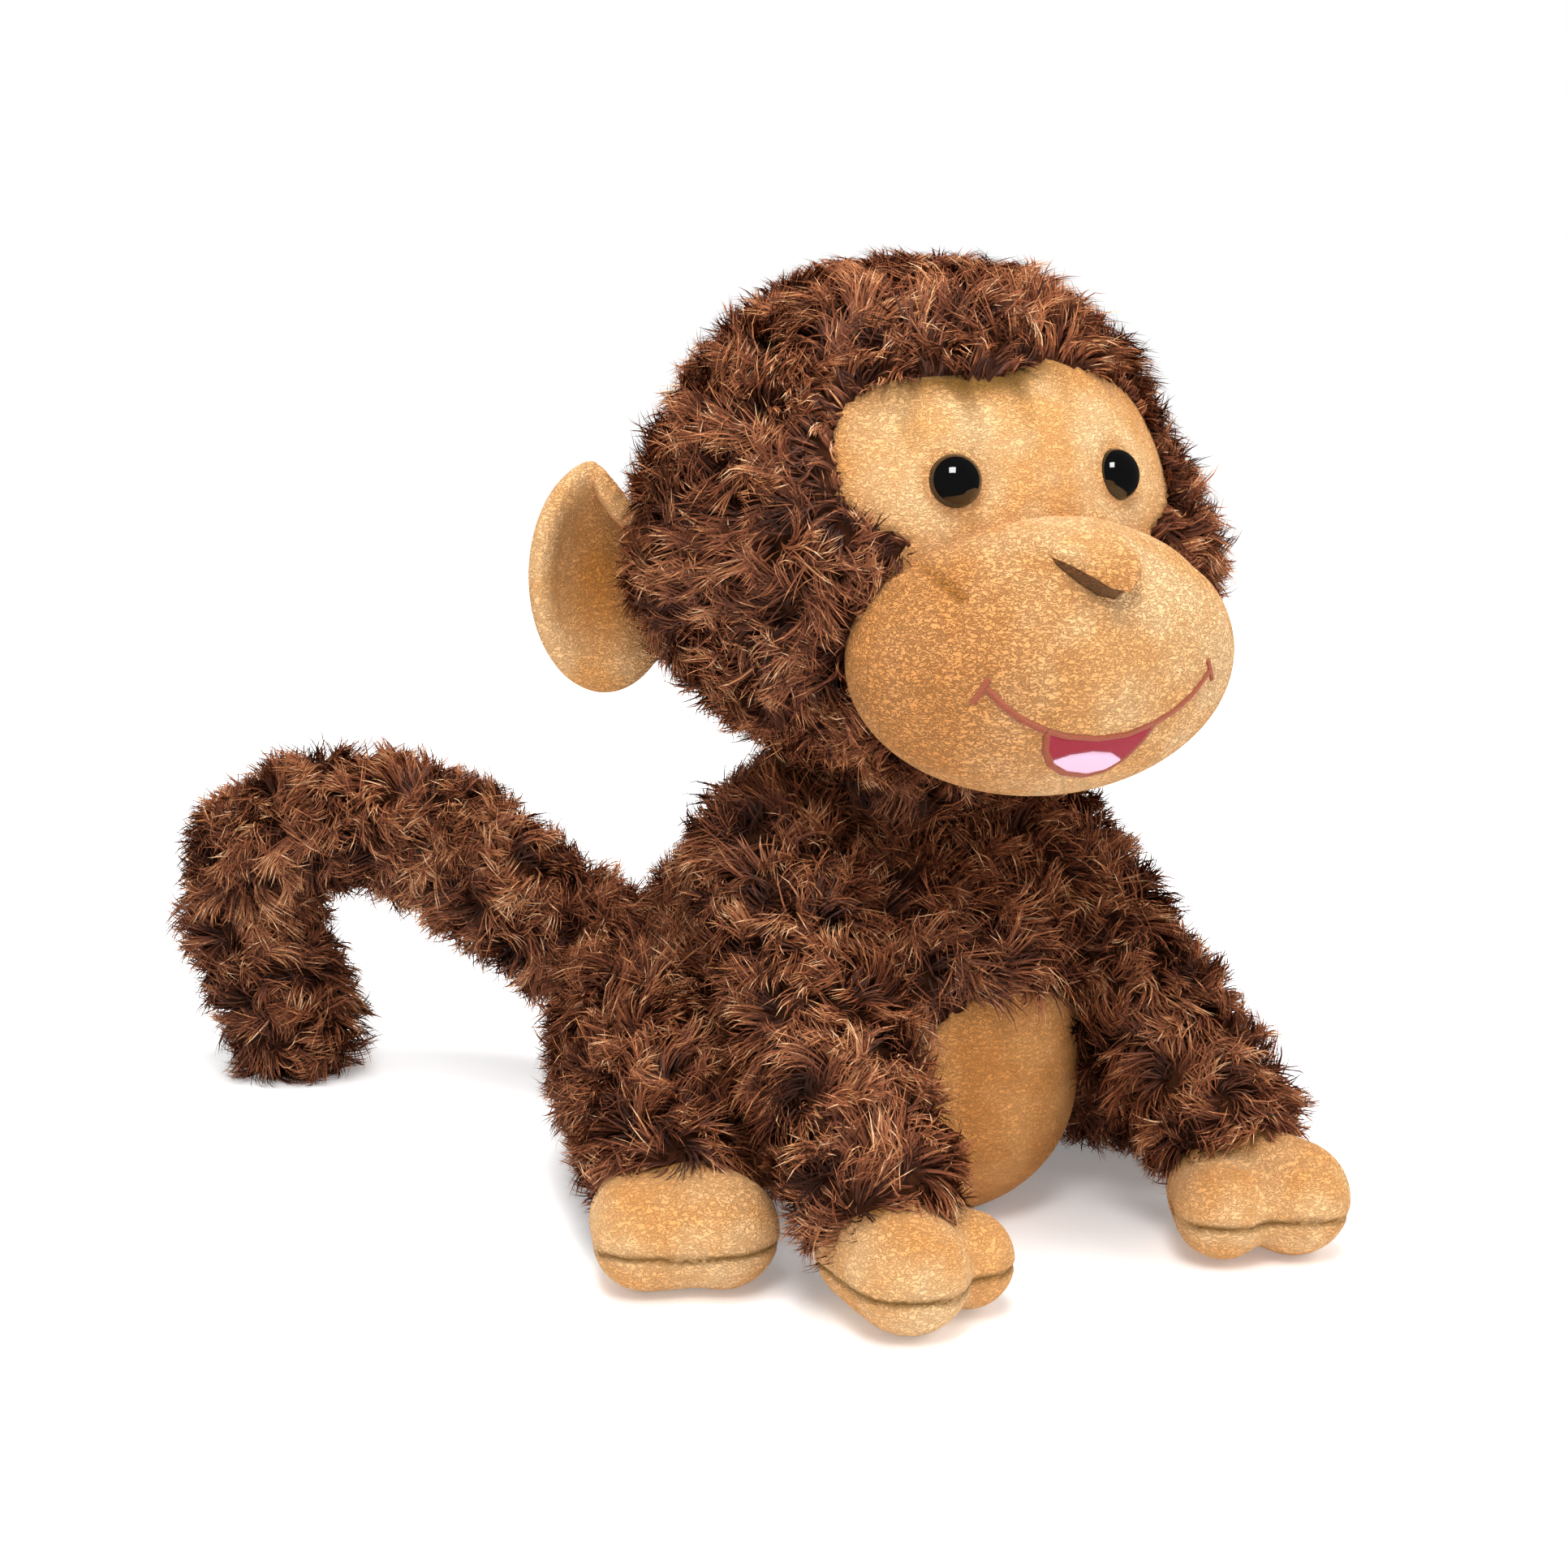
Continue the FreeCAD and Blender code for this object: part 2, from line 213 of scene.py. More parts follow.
# %% Eye and thread
EYE_BLACK = plain("eye_black", "#020202", 0.05, Specular_IOR_Level=1.0)
BROWN_THREAD = plain("brown_thread", "#a04e2a", 0.5, Sheen_Weight=0.3)
CRIMSON_THREAD = plain("crimson_thread", "#a3142f", 0.42, Sheen_Weight=0.2)
PINK_THREAD = plain("pink_thread", "#f0c4dc", 0.42, Sheen_Weight=0.2)
print("thread colours: brown, crimson and pink")


# %% [markdown]
# ## Stuffed forms
# Each sewn piece could be drawn as an ellipsoid. Real ones are a few balls and bars of filling with one
# cloth pulled over them, so the pieces start that way and a voxel remesh welds them into one skin.

# %% Mesh helpers
def link(name, mesh, *materials, smooth=True):
    obj = new_object(name, mesh)
    for material in materials:
        mesh.materials.append(material)
    if smooth and mesh.polygons:
        mesh.polygons.foreach_set("use_smooth", [True] * len(mesh.polygons))
    return obj


def subdivided(obj):
    smooth = obj.modifiers.new("smooth", "SUBSURF")
    smooth.levels = smooth.render_levels = 1


def finish_bmesh(bm, name):
    mesh = bpy.data.meshes.new(name)
    bmesh.ops.recalc_face_normals(bm, faces=bm.faces)
    bm.to_mesh(mesh)
    bm.free()
    return mesh


def read_points(mesh):
    co = np.empty(len(mesh.vertices) * 3)
    mesh.vertices.foreach_get("co", co)
    return co.reshape(-1, 3) / MM


def write_points(mesh, points):
    mesh.vertices.foreach_set("co", (points * MM).ravel())
    mesh.update()


def read_normals(mesh):
    normal = np.empty(len(mesh.vertices) * 3)
    mesh.vertices.foreach_get("normal", normal)
    return normal.reshape(-1, 3)


def paint(mesh, name, values):
    layer = mesh.attributes.new(name, "FLOAT", "POINT")
    layer.data.foreach_set("value", np.clip(values, 0, 1).astype(np.float32))


def add_ball(bm, centre, radii, subdivisions=4):
    made = bmesh.ops.create_icosphere(bm, subdivisions=subdivisions, radius=1.0)["verts"]
    place = Matrix.Translation(at(*centre)) @ Matrix.Diagonal((*(r * MM for r in radii), 1))
    bmesh.ops.transform(bm, matrix=place, verts=made)
    return made


def add_bar(bm, start, end, r_start, r_end, steps=10):
    """A row of balls from start to end, close enough to weld into one bar."""
    for i in range(steps + 1):
        t = i / steps
        centre = [a + (b - a) * t for a, b in zip(start, end)]
        radius = r_start + (r_end - r_start) * t
        add_ball(bm, centre, (radius,) * 3, subdivisions=3)


def evaluated(obj):
    """A copy of the mesh with the object's modifiers applied, and the object is removed."""
    bpy.context.view_layer.update()
    depsgraph = bpy.context.evaluated_depsgraph_get()
    mesh = bpy.data.meshes.new_from_object(obj.evaluated_get(depsgraph))
    bpy.data.objects.remove(obj)
    return mesh


def relax(bm):
    bmesh.ops.smooth_vert(bm, verts=bm.verts, factor=0.5, use_axis_x=True, use_axis_y=True,
                          use_axis_z=True)


def welded(bm, name, voxel, rounds):
    """One smooth closed skin round everything in bm, flat where it meets the floor."""
    rough = link(name, finish_bmesh(bm, name))
    remesh = rough.modifiers.new("weld", "REMESH")
    remesh.mode, remesh.voxel_size = "VOXEL", voxel * MM
    mesh = evaluated(rough)
    bm = bmesh.new()
    bm.from_mesh(mesh)
    for _ in range(rounds):
        relax(bm)
    bm.to_mesh(mesh)
    bm.free()
    return on_floor(mesh)


def on_floor(mesh):
    """Flattens whatever would sink into the floor."""
    points = read_points(mesh)
    points[:, 2] = np.maximum(points[:, 2], 0)
    write_points(mesh, points)
    return mesh


sample = bmesh.new()
print("points on one ball of filling:", len(add_ball(sample, (0, 0, 0), (10, 10, 10))))
sample.free()


# %% [markdown]
# The filling is then let in. Cloth simulation with a pressure inside pushes each skin out between its
# seams, which are held still, so the seams sink in as sewn ones do. A cap keeps every point near its
# start, and so inside the space that the CAD frame gives the piece.

# %% Fill with pressure
PRESSURE, FILL_FRAMES = 4.0, 20


def fill_out(mesh, name, seam, cap):
    """Blows the skin out by up to cap mm, except at the seam."""
    start = read_points(mesh)
    obj = link(f"{name}_filling", mesh.copy())
    held = obj.vertex_groups.new(name="seam")
    held.add([int(i) for i in np.nonzero(seam)[0]], 1.0, "REPLACE")
    cloth = obj.modifiers.new("cloth", "CLOTH")
    cloth.settings.quality = 6
    cloth.settings.use_pressure = True
    cloth.settings.uniform_pressure_force = PRESSURE
    cloth.settings.vertex_group_mass = "seam"
    cloth.settings.effector_weights.gravity = 0
    cloth.collision_settings.use_collision = False
    cloth.point_cache.frame_start, cloth.point_cache.frame_end = 1, FILL_FRAMES
    for number in range(1, FILL_FRAMES + 1):
        bpy.context.scene.frame_set(number)
    filled = read_points(evaluated(obj))
    bpy.context.scene.frame_set(1)
    moved = filled - start
    far = np.linalg.norm(moved, axis=1, keepdims=True)
    moved *= np.minimum(1, cap / np.maximum(far, 1e-6))
    write_points(mesh, start + moved)
    print(f"{name}: filled, mean move {np.linalg.norm(moved, axis=1).mean():.2f} mm")
    return on_floor(mesh)


def near_path(points, path, radii=None):
    """Distance from each point to a line through several places, less the line's radius there."""
    best = np.full(len(points), 1e9)
    radii = radii or [0] * len(path)
    for a, b, ra, rb in zip(path, path[1:], radii, radii[1:]):
        a, b = np.array(a, float), np.array(b, float)
        t = np.clip((points - a) @ (b - a) / ((b - a) @ (b - a)), 0, 1)
        gap = np.linalg.norm(points - a - t[:, None] * (b - a), axis=1) - (ra + (rb - ra) * t)
        best = np.minimum(best, gap)
    return best


def sink(mesh, distance, depth, width):
    """Pushes the skin in along a seam, and returns how much of the seam each point holds."""
    share = np.exp(-(distance / width) ** 2)
    write_points(mesh, read_points(mesh) - read_normals(mesh) * (share * depth)[:, None])
    return share


print("each filling runs for", FILL_FRAMES, "frames")


# %% [markdown]
# ## Fur
# Blender's own hair would do, but it can't be kept as a plain model. So the long fur is grown as thin
# curved ribbons. Roots are scattered over a skin, and neighbours share a lock: they lean the same way
# and close up towards the tip. The whole coat turns round scattered whorls, which gives the rosettes
# of curly fur, with a hollow in the middle of each that is darkened as painted shade. A curl of hair has
# no operator of its own, and there are about 219,000, so their points and faces are worked out and written
# in one go.

# %% Roots and directions
def swirl(points, scale, seed):
    """A smooth vector field made of a few sine waves."""
    rng = np.random.default_rng(seed)
    field = np.zeros_like(points)
    for _ in range(7):
        wave = rng.normal(size=3)
        wave *= (2 * np.pi / scale) * rng.uniform(0.7, 1.4) / np.linalg.norm(wave)
        push = rng.normal(size=3)
        field += np.sin(points @ wave + rng.uniform(0, 2 * np.pi))[:, None] * push
    return field / 2.2


def unit(vectors):
    return vectors / np.maximum(np.linalg.norm(vectors, axis=-1, keepdims=True), 1e-9)


def scatter(mesh, per_mm2, seed):
    """Random points on a mesh, in mm, with the skin's smooth normals."""
    rng = np.random.default_rng(seed)
    mesh.calc_loop_triangles()
    corners = np.empty(len(mesh.loop_triangles) * 3, np.int32)
    mesh.loop_triangles.foreach_get("vertices", corners)
    corners = corners.reshape(-1, 3)
    co, normal = read_points(mesh), read_normals(mesh)
    a, b, c = (co[corners[:, i]] for i in range(3))
    area = np.linalg.norm(np.cross(b - a, c - a), axis=1) / 2
    count = int(area.sum() * per_mm2)
    face = rng.choice(len(area), count, p=area / area.sum())
    u, v = rng.random(count), rng.random(count)
    flip = u + v > 1
    u[flip], v[flip] = 1 - u[flip], 1 - v[flip]
    w = 1 - u - v
    mixed = [x[corners[face, 0]] * w[:, None] + x[corners[face, 1]] * u[:, None]
             + x[corners[face, 2]] * v[:, None] for x in (co, normal)]
    return mixed[0], unit(mixed[1])


def locks(points, spacing, seed):
    """Picks centres about one spacing apart, and each point's nearest centre."""
    rng = np.random.default_rng(seed)
    taken, centres = set(), []
    for i in rng.permutation(len(points)):
        cell = tuple((points[i] // spacing).astype(int))
        if cell not in taken:
            taken.add(cell)
            centres.append(i)
    tree = KDTree(len(centres))
    for k, i in enumerate(centres):
        tree.insert(points[i], k)
    tree.balance()
    return np.array(centres), np.array([tree.find(p)[1] for p in points])


def whorls(points, normals, spacing, seed):
    """Hair direction round the nearest whorl, and the distance from its centre."""
    centres, nearest = locks(points, spacing, seed)
    sense = np.random.default_rng(seed).choice([-1.0, 1.0], len(centres))[nearest]
    away = points - points[centres][nearest]
    away -= normals * np.sum(away * normals, axis=1, keepdims=True)
    distance = np.linalg.norm(away, axis=1)
    away = unit(away)
    return np.cross(normals, away) * sense[:, None] + 0.4 * away, distance


print("swirl at the origin:", np.round(swirl(np.zeros((1, 3)), 30.0, 1)[0], 2))

# %% [markdown]
# Each hair starts nearly upright and lies down towards its tip, with a turn to one side. Its colour comes
# from its lock, and it is darker near the middle of a whorl, as painted shade in the hollow there; a rare
# pale hair is a painted glint. A real fibre is a tenth as wide, so each hair here stands for a small tuft.
# Four steps are enough for a curl, and a piece of 28,000 hairs stays under 200,000 triangles.

# %% Grow ribbons
STEPS, PIECE_LIMIT = 4, 28000
HAIR_WIDTH, LOCK, WHORL = 0.5, 5.2, 19.0
LEAN_ROOT, LEAN_TIP = 0.35, 1.45
FLOOR_GAP, CEILING_SQUEEZE = 0.6, 0.4


def grow(name, mesh, body, length, per_mm2, seed, pull=None, reach=None, ceiling=None):
    """Covers a skin with fur. reach shortens it, pull combs it, and a ceiling presses it down."""
    points, normals = scatter(mesh, per_mm2 * (1.0), seed)
    size = np.ones(len(points)) if reach is None else reach(points)
    keep = size > 0.08
    points, normals, size = points[keep], normals[keep], size[keep]
    centres, lock_of = locks(points, LOCK, seed + 1)
    rng = np.random.default_rng(seed + 2)
    heading, distance = whorls(points, normals, WHORL, seed + 3)
    heading += 0.35 * swirl(points, 30.0, seed + 4)
    heading += (rng.normal(size=(len(centres), 3)) * 0.28)[lock_of]
    heading += np.array([0, 0, -0.25]) if pull is None else pull(points)
    heading = unit(heading - normals * np.sum(heading * normals, axis=1, keepdims=True))
    across = np.cross(normals, heading)
    turn = rng.normal(size=len(centres))[lock_of] * 0.5 + rng.normal(size=len(points)) * 0.2
    lift = rng.uniform(-0.25, 0.2, len(centres))[lock_of]
    long = length * size * rng.uniform(0.8, 1.15, len(centres))[lock_of]
    long *= rng.uniform(0.72, 1.12, len(points))
    low = LEAN_ROOT + lift + rng.normal(size=len(points)) * 0.1
    high = LEAN_TIP + lift + rng.normal(size=len(points)) * 0.12
    towards = points[centres][lock_of] - points
    line = [points]
    for k in range(STEPS):
        t = (k + 0.5) / STEPS
        tilt, angle = low + (high - low) * t, turn * t * 1.6
        direction = (np.cos(tilt)[:, None] * normals
                     + np.sin(tilt)[:, None] * (np.cos(angle)[:, None] * heading
                                                + np.sin(angle)[:, None] * across))
        line.append(line[-1] + direction * (long / STEPS)[:, None])
    line = np.stack(line, axis=1)
    share = (np.arange(STEPS + 1) / STEPS) ** 1.2
    line += towards[:, None, :] * (0.68 * share)[None, :, None]
    line[:, :, 2] = np.maximum(line[:, :, 2], FLOOR_GAP)
    if ceiling:
        line[:, :, 2] -= CEILING_SQUEEZE * np.maximum(line[:, :, 2] - ceiling, 0)
    # A random tone for each hair; the rare top tone makes a pale hair, a painted glint.
    tone = rng.choice([0, 0, 1, 1, 1, 2, 2, 3], len(points), p=[0.1, 0.1, 0.2, 0.2, 0.16, 0.1, 0.1, 0.04])
    tone = tone + rng.choice([-1, 0, 0, 1], len(centres))[lock_of]
    # Painted shade: hairs near the middle of a whorl are darker, as in the hollow there.
    tone = tone - (distance < WHORL * 0.22) - (distance < WHORL * 0.12)
    for part in range(0, len(points), PIECE_LIMIT):
        some = slice(part, part + PIECE_LIMIT)
        number = part // PIECE_LIMIT + 1
        ribbons(f"{name}_{number}", line[some], normals[some], tone[some], body, rng)


def ribbons(name, line, normals, tone, body, rng):
    """Turns hair lines, in mm, into tapering ribbons that face out from the skin."""
    count = len(line)
    along = np.gradient(line, axis=1)
    face = (normals + rng.normal(size=normals.shape) * 0.4)[:, None, :]
    side = unit(np.cross(along, face))
    taper = np.array([0.75, 1.0, 0.9, 0.6])
    half = (HAIR_WIDTH / 2) * taper[None, :, None] * rng.uniform(0.7, 1.3, (count, 1, 1))
    left, right = line[:, :STEPS] - side[:, :STEPS] * half, line[:, :STEPS] + side[:, :STEPS] * half
    rows = np.stack([left, right], axis=2).reshape(count, STEPS * 2, 3)
    verts = np.concatenate([rows, line[:, STEPS:]], axis=1).reshape(-1, 3) * MM
    per = STEPS * 2 + 1
    quads = np.array([[2 * k, 2 * k + 1, 2 * k + 3, 2 * k + 2] for k in range(STEPS - 1)])
    base = np.arange(count)[:, None] * per
    quad_loops = (base[:, :, None] + quads[None]).reshape(count, -1)
    loops = np.concatenate([quad_loops, base + np.array([[per - 3, per - 2, per - 1]])], axis=1)
    sizes = np.tile([4] * (STEPS - 1) + [3], count)
    starts = np.concatenate([[0], np.cumsum(sizes)[:-1]]).astype(np.int32)
    mesh = bpy.data.meshes.new(name)
    mesh.vertices.add(len(verts))
    mesh.vertices.foreach_set("co", verts.ravel())
    mesh.loops.add(loops.size)
    mesh.loops.foreach_set("vertex_index", loops.ravel().astype(np.int32))
    mesh.polygons.add(len(starts))
    mesh.polygons.foreach_set("loop_start", starts)
    # Along a hair the colour steps lighter: painted shade at the root and a painted highlight at the tip.
    shade = np.clip(np.array([0, 1, 1, 2])[None, :] + tone[:, None], 0, len(FUR) - 1)
    mesh.polygons.foreach_set("material_index", shade.ravel().astype(np.int32))
    mesh.update(calc_edges=True)
    obj = link(name, mesh, *FUR)
    flat = unit(np.cross(side, along))
    soft = unit(0.5 * flat + 0.6 * normals[:, None, :])
    rows = np.repeat(soft[:, :STEPS], 2, axis=1)
    mesh.normals_split_custom_set_from_vertices(
        np.concatenate([rows, soft[:, STEPS:]], axis=1).reshape(-1, 3).tolist())
    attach(obj, body)
    print(f"{name}: {count} hairs, {count * (2 * STEPS - 1)} triangles")


print("steps in a hair:", STEPS)


# %% [markdown]
# ## Torso
# The body is a bag filled with fibre and a few pellets. It has a chest, and a belly that bulges
# forward and spreads flat on the floor.

# %% Torso skin
SEAT, SEAT_FRONT_R, SEAT_BACK_R = ((0, -34, 53), (0, 6, 54)), 55, 54
BELLY, BELLY_R = (0, -52, 36), (44, 37, 37)
CHEST, CHEST_R = (0, -15, 88), (44, 42, 38)
bm = bmesh.new()
add_bar(bm, *SEAT, SEAT_FRONT_R, SEAT_BACK_R)
add_ball(bm, BELLY, BELLY_R)
add_ball(bm, CHEST, CHEST_R)
torso_mesh = welded(bm, "torso_skin", 3.5, 9)
torso_mesh = fill_out(torso_mesh, "torso", read_points(torso_mesh)[:, 2] < 0.5, cap=2.5)
torso = link("torso_skin", torso_mesh, FUR_BACKING)
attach(torso, "torso")
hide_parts("seat_panel", "chest_panel", "back_panel_left", "back_panel_right",
            "torso_stuffing", "pellet_bag")
print("torso skin:", len(torso_mesh.polygons), "faces")

# %% [markdown]
# The tan belly patch is sewn into the front. It is lifted from the torso's own skin, so it has the same
# bulge, and it stands a little proud of the backing, with a clean edge where the fur starts.

# %% Belly patch
BELLY_ZONE = (4, 34, 45, 36)


def belly_zone(points):
    """1 inside the belly patch, falling to 0 outside."""
    x0, z0, wide, high = BELLY_ZONE
    edge = ((points[:, 0] - x0) / wide) ** 2 + ((points[:, 2] - z0) / high) ** 2
    return np.where(points[:, 1] < -20, np.clip((1.1 - edge) / 0.1, 0, 1), 0)


def lifted(mesh, name, inside, lift, thickness, refine=0):
    """A cloth panel made from the faces of a skin whose centres lie inside."""
    bm = bmesh.new()
    bm.from_mesh(mesh)
    centres = np.array([f.calc_center_median() / MM for f in bm.faces])
    chosen = inside(centres)
    faces = [f for f, kept in zip(list(bm.faces), chosen) if not kept]
    bmesh.ops.delete(bm, geom=faces, context="FACES")
    for _ in range(refine):
        bmesh.ops.subdivide_edges(bm, edges=bm.edges, cuts=1, use_grid_fill=True)
        relax(bm)
    bm.normal_update()
    for vert in bm.verts:
        vert.co += vert.normal * lift * MM
    bmesh.ops.solidify(bm, geom=bm.faces, thickness=thickness * MM)
    return finish_bmesh(bm, name)


belly_mesh = lifted(torso_mesh, "belly_cloth",
                    lambda c: (belly_zone(c) > 0.5) & (c[:, 2] > 3), 1.0, 1.2, refine=1)
points = read_points(belly_mesh)
# Painted shade: a deeper orange lower down, towards the floor, and at the patch's edge beside the fur.
paint(belly_mesh, "painted_shade", 0.9 - 0.05 * (points[:, 2] + 4) + 0.5 * (1 - belly_zone(points)))
belly = link("belly_cloth", belly_mesh, TAN_BELLY_SHADED)
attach(belly, "torso")
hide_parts("belly_patch")
print("belly patch:", len(belly_mesh.polygons), "faces")

# %% [markdown]
# ## Head
# The head is a firm ball, a little wider than deep, with a high crown. The face mask is a panel on its
# front with two lobes over the eyes, and the muzzle is a separate stuffed pad.

# %% Head skin
HEAD, HEAD_R, CROWN = np.array([0.0, -41.0, 198.0]), np.array([74.0, 64.0, 64.0]), 1.1
CHEEK_Z, CHEEK_TALL = 180, 25
LEFT_CHEEK, RIGHT_CHEEK = 0.23, 0.075


def crowned(mesh):
    """Lifts the crown and fills the cheeks, the left one more."""
    points = read_points(mesh)
    fuller = np.where(points[:, 0] > 0, LEFT_CHEEK, RIGHT_CHEEK)
    points[:, 0] *= 1 + fuller * np.exp(-((points[:, 2] - CHEEK_Z) / CHEEK_TALL) ** 2)
    over = points[:, 2] > HEAD[2]
    points[over, 2] = HEAD[2] + (points[over, 2] - HEAD[2]) * CROWN
    write_points(mesh, points)
    return mesh


bm = bmesh.new()
add_ball(bm, HEAD, HEAD_R, subdivisions=6)
head_mesh = crowned(finish_bmesh(bm, "head_skin"))
head = link("head_skin", head_mesh, FUR_BACKING)
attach(head, "head")
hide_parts("head_side_left", "head_side_right", "head_gusset", "head_stuffing",
            "eye_washer_left", "eye_washer_right")
print("head skin:", len(head_mesh.polygons), "faces")

# %% [markdown]
# The face mask is cut from the head's own skin, so it fits like the sewn panel. A formula gives its
# outline: a wide brow with a dip, and a narrower part that runs down behind the muzzle. The same formula
# keeps the fur off it. Its top edge is gathered into a few puckers, with a brown painted shadow along the
# edge that is deepest in them, and each eye has its dent, ringed with painted shade. Towards the fur the
# cloth is painted a deeper orange, as painted shade.

# %% Face mask
MASK_Z, MASK_WIDE, MASK_UP, MASK_DOWN = 214, 51, 29.5, 19
DIP_X, DIP_WIDE, PEAK_X, PEAK_WIDE = -12, 12, 7, 10
PUCKER_WIDE, PUCKER_GAP = 27, 5.2
EYE_X, EYE_Z = 26.6, 215.5
DENT_DEEP, DENT_WIDE, DENT_RIM = 1.8, 8.5, 7


def mask_value(x, z):
    """Below 1 inside the tan mask round the eyes, above 1 in the fur."""
    above = z > MASK_Z
    wide, high = np.abs(x) / MASK_WIDE, (z - MASK_Z) / np.where(above, MASK_UP, MASK_DOWN)
    corner = np.where(x > 0, 2.3, 3.0)
    brow = np.where(above, wide ** corner + np.abs(high) ** 3, wide ** 2.2 + high ** 2)
    dip = 0.36 * np.exp(-((x - DIP_X) / DIP_WIDE) ** 2) - 0.16 * np.exp(-((x - PEAK_X) / PEAK_WIDE) ** 2)
    cheek = (x / 42) ** 2 + ((z - 186) / 26) ** 2
    return np.minimum(brow + dip * above * high ** 2, cheek)


def in_mask(centres):
    return (centres[:, 1] < HEAD[1] - 5) & (mask_value(centres[:, 0], centres[:, 2]) < 1.12)


mask_mesh = lifted(head_mesh, "face_mask_cloth", in_mask, 0.8, 1.4)
points = read_points(mask_mesh)
to_eye = np.minimum(np.hypot(points[:, 0] - EYE_X, points[:, 2] - EYE_Z),
                    np.hypot(points[:, 0] + EYE_X, points[:, 2] - EYE_Z))
sink(mask_mesh, to_eye, DENT_DEEP, DENT_WIDE)
value = mask_value(points[:, 0], points[:, 2])
from_top = np.maximum((1.02 - value) * 10, 0)
gather = np.cos(points[:, 0] / PUCKER_GAP + 0.6) ** 6
pucker = np.exp(-(from_top / (3.2 + 3.6 * gather)) ** 2 - ((points[:, 0] - DIP_X) / PUCKER_WIDE) ** 4)
pucker *= points[:, 2] > MASK_Z + 10
sink(mask_mesh, (1 - pucker) * 9, 0.5, 4.0)
# Painted shadow: brown along the top edge under the fur, deepest in the puckers.
paint(mask_mesh, "seam", pucker)
# Painted shade: a deeper orange towards the fur and in a ring round each eye.
paint(mask_mesh, "painted_shade", np.clip(value - 0.45, 0, 1) * 0.9
      + 0.6 * np.exp(-((to_eye - DENT_RIM) / 2.5) ** 2))
mask = link("face_mask_cloth", mask_mesh, TAN_LIGHT)
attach(mask, "head")
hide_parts("face_mask")
print("face mask:", len(mask_mesh.polygons), "faces")

# %% [markdown]
# The muzzle is the fullest pad of all. A short dart on each side of its top gives it its shape, and a low
# swelling lifts the nose above its rim. On the right side, the side in shade, the cloth is painted a deeper
# orange with darker creases, as painted shade.

# %% Muzzle
MUZZLE, MUZZLE_R = np.array([0.7, -101.0, 168.2]), np.array([57.2, 41.0, 37.6])
DARTS = [[(40 * side, -95, 197), (41 * side, -109, 194), (40 * side, -121, 188)] for side in (1, -1)]
NOSE_RIDGE, RIDGE_UP, RIDGE_WIDE = [(-11, -124, 198), (2, -121, 201)], 4.5, 9.5
bm = bmesh.new()
add_ball(bm, MUZZLE, MUZZLE_R, subdivisions=6)
muzzle_mesh = finish_bmesh(bm, "muzzle_cloth")
points = read_points(muzzle_mesh)
to_dart = np.minimum(near_path(points, DARTS[0]), near_path(points, DARTS[1]))
seam = sink(muzzle_mesh, to_dart, 1.5, 1.2)
sink(muzzle_mesh, to_dart, 0.7, 4.5)
# Painted shade: a deeper orange on the right side, at the back where the muzzle meets the face, and by the
# darts.
paint(muzzle_mesh, "painted_shade", 0.75 * np.clip((-points[:, 0] - 8) / 34, 0, 1)
      + 0.6 * np.clip((points[:, 1] + 92) / 22, 0, 1) + 0.4 * seam)
# The darts' seam colour is thread with a painted shadow.
paint(muzzle_mesh, "seam", seam * 0.6)
sink(muzzle_mesh, near_path(points, NOSE_RIDGE), -RIDGE_UP, RIDGE_WIDE)
muzzle = link("muzzle_cloth", muzzle_mesh, TAN)
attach(muzzle, "head")
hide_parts("muzzle_skin", "muzzle_stuffing")
print("muzzle:", len(muzzle_mesh.polygons), "faces")

# %% [markdown]
# ## Stitched mouth
# The mouth is satin stitch. It could be a bump on flat patches, but the light shows real threads, so
# each stitch is a thin round thread laid on the muzzle's own surface: upright ones in crimson and pink,
# and short ones across the brown line of the smile.

# %% Stitches
LINE_GAP, LINE_R = 0.42, 0.27
FILL_GAP, FILL_R = 0.46, 0.28
muzzle_tree = BVHTree.FromObject(muzzle, bpy.context.evaluated_depsgraph_get())


def on_muzzle(x, z, lift=0.0):
    place, normal, _, _ = muzzle_tree.ray_cast(at(x, -300, z), Vector((0, 1, 0)))
    return place + normal * lift * MM


def add_thread(bm, places, radius, sides=6):
    """A round thread through the given places, closed at both ends."""
    rings = []
    for k, place in enumerate(places):
        ahead = places[min(k + 1, len(places) - 1)] - places[max(k - 1, 0)]
        turn = ahead.to_track_quat("Z", "Y")
        thin = radius * MM * (0.6 if k in (0, len(places) - 1) else 1.0)
        rings.append([bm.verts.new(place + turn @ Vector((math.cos(a) * thin, math.sin(a) * thin, 0)))
                      for a in (math.tau * i / sides for i in range(sides))])
    for low, high in zip(rings, rings[1:]):
        bmesh.ops.bridge_loops(bm, edges=loop_edges(bm, low) + loop_edges(bm, high))
    for ring in (rings[0], rings[-1]):
        bm.faces.new(ring)


def loop_edges(bm, ring):
    return [bm.edges.get(pair) or bm.edges.new(pair) for pair in zip(ring, ring[1:] + ring[:1])]


def sampled(path, gap):
    """Evenly spaced places along a path, each with its direction."""
    path = np.array(path, float)
    steps = np.linalg.norm(np.diff(path, axis=0), axis=1)
    run = np.concatenate([[0], np.cumsum(steps)])
    where = np.arange(0, run[-1], gap)
    spots = np.stack([np.interp(where, run, path[:, i]) for i in range(2)], axis=1)
    return spots, unit(np.gradient(spots, axis=0))


